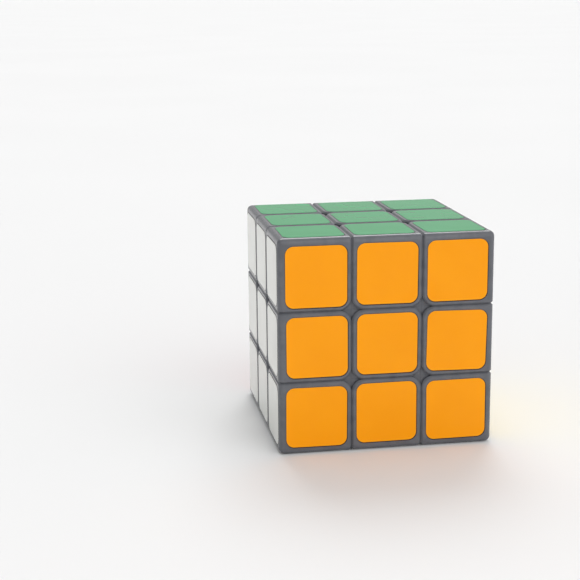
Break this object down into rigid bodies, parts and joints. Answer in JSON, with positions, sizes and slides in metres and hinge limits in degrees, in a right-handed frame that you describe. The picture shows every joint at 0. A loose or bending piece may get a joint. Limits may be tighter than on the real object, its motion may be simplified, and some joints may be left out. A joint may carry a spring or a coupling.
{
  "type": "twisty puzzle cube",
  "caption": "Cube puzzle of hollow plastic pieces with vinyl stickers, whose outer layers turn on a screwed core with sprung centres under pull-off caps.",
  "frame": {"origin": "middle of the core, where the three turning axes cross, which is the middle of the cube", "axes": "+Z out of the upper (green) face, -Y out of the front (orange) face, -X out of the left (white) face"},
  "size_m": [0.0574, 0.0574, 0.0574],
  "materials": {
    "shell_plastic": "satin moulded",
    "inner_plastic": "matte moulded",
    "steel": "zinc plated",
    "spring_steel": "bright wire",
    "sticker_green": "satin vinyl",
    "sticker_orange": "satin vinyl",
    "sticker_white": "satin vinyl",
    "sticker_blue": "satin vinyl",
    "sticker_red": "satin vinyl",
    "sticker_yellow": "satin vinyl"
  },
  "bodies": {
    "middle_layer": {"core": "inner_plastic", "tension_screws": "steel", "screw_washers": "steel", "centre_springs": "spring_steel", "edge_front_right": "shell_plastic", "edge_back_right": "shell_plastic", "edge_back_left": "shell_plastic", "edge_front_left": "shell_plastic", "middle_feet": "inner_plastic", "middle_stickers_orange": "sticker_orange", "middle_stickers_yellow": "sticker_yellow", "middle_stickers_red": "sticker_red", "middle_stickers_white": "sticker_white"},
    "upper_layer": {"edge_up_front": "shell_plastic", "edge_up_right": "shell_plastic", "edge_up_back": "shell_plastic", "edge_up_left": "shell_plastic", "corner_up_front_right": "shell_plastic", "corner_up_back_right": "shell_plastic", "corner_up_back_left": "shell_plastic", "corner_up_front_left": "shell_plastic", "upper_feet": "inner_plastic", "upper_stickers_green": "sticker_green", "upper_stickers_orange": "sticker_orange", "upper_stickers_yellow": "sticker_yellow", "upper_stickers_red": "sticker_red", "upper_stickers_white": "sticker_white"},
    "lower_layer": {"edge_down_front": "shell_plastic", "edge_down_right": "shell_plastic", "edge_down_back": "shell_plastic", "edge_down_left": "shell_plastic", "corner_down_front_right": "shell_plastic", "corner_down_back_right": "shell_plastic", "corner_down_back_left": "shell_plastic", "corner_down_front_left": "shell_plastic", "lower_feet": "inner_plastic", "lower_stickers_blue": "sticker_blue", "lower_stickers_orange": "sticker_orange", "lower_stickers_yellow": "sticker_yellow", "lower_stickers_red": "sticker_red", "lower_stickers_white": "sticker_white"},
    "centre_up": {"centre_up": "inner_plastic"},
    "cap_up": {"cap_up": "shell_plastic", "cap_sticker_up": "sticker_green"},
    "centre_down": {"centre_down": "inner_plastic"},
    "cap_down": {"cap_down": "shell_plastic", "cap_sticker_down": "sticker_blue"},
    "centre_front": {"centre_front": "inner_plastic"},
    "cap_front": {"cap_front": "shell_plastic", "cap_sticker_front": "sticker_orange"},
    "centre_back": {"centre_back": "inner_plastic"},
    "cap_back": {"cap_back": "shell_plastic", "cap_sticker_back": "sticker_red"},
    "centre_left": {"centre_left": "inner_plastic"},
    "cap_left": {"cap_left": "shell_plastic", "cap_sticker_left": "sticker_white"},
    "centre_right": {"centre_right": "inner_plastic"},
    "cap_right": {"cap_right": "shell_plastic", "cap_sticker_right": "sticker_yellow"}
  },
  "joints": [
    {"name": "upper_turn", "type": "hinge", "parent": "middle_layer", "child": "upper_layer", "pos_m": [0, 0, 0], "axis": [0, 0, 1], "continuous": true},
    {"name": "lower_turn", "type": "hinge", "parent": "middle_layer", "child": "lower_layer", "pos_m": [0, 0, 0], "axis": [0, 0, -1], "continuous": true},
    {"name": "centre_up_lift", "type": "slide", "parent": "upper_layer", "child": "centre_up", "axis": [0, 0, 1], "range_m": [0, 0.0008], "stiffness_N_per_m": 800, "springref_m": -0.002, "deforming": ["centre_springs"]},
    {"name": "centre_down_lift", "type": "slide", "parent": "lower_layer", "child": "centre_down", "axis": [0, 0, -1], "range_m": [0, 0.0008], "stiffness_N_per_m": 800, "springref_m": -0.002, "deforming": ["centre_springs"]},
    {"name": "centre_front_lift", "type": "slide", "parent": "middle_layer", "child": "centre_front", "axis": [0, -1, 0], "range_m": [0, 0.0008], "stiffness_N_per_m": 800, "springref_m": -0.002, "deforming": ["centre_springs"]},
    {"name": "centre_back_lift", "type": "slide", "parent": "middle_layer", "child": "centre_back", "axis": [0, 1, 0], "range_m": [0, 0.0008], "stiffness_N_per_m": 800, "springref_m": -0.002, "deforming": ["centre_springs"]},
    {"name": "centre_left_lift", "type": "slide", "parent": "middle_layer", "child": "centre_left", "axis": [-1, 0, 0], "range_m": [0, 0.0008], "stiffness_N_per_m": 800, "springref_m": -0.002, "deforming": ["centre_springs"]},
    {"name": "centre_right_lift", "type": "slide", "parent": "middle_layer", "child": "centre_right", "axis": [1, 0, 0], "range_m": [0, 0.0008], "stiffness_N_per_m": 800, "springref_m": -0.002, "deforming": ["centre_springs"]},
    {"name": "cap_up_pull", "type": "slide", "parent": "centre_up", "child": "cap_up", "axis": [0, 0, 1], "range_m": [0, 0.01]},
    {"name": "cap_down_pull", "type": "slide", "parent": "centre_down", "child": "cap_down", "axis": [0, 0, -1], "range_m": [0, 0.01]},
    {"name": "cap_front_pull", "type": "slide", "parent": "centre_front", "child": "cap_front", "axis": [0, -1, 0], "range_m": [0, 0.01]},
    {"name": "cap_back_pull", "type": "slide", "parent": "centre_back", "child": "cap_back", "axis": [0, 1, 0], "range_m": [0, 0.01]},
    {"name": "cap_left_pull", "type": "slide", "parent": "centre_left", "child": "cap_left", "axis": [-1, 0, 0], "range_m": [0, 0.01]},
    {"name": "cap_right_pull", "type": "slide", "parent": "centre_right", "child": "cap_right", "axis": [1, 0, 0], "range_m": [0, 0.01]}
  ]
}
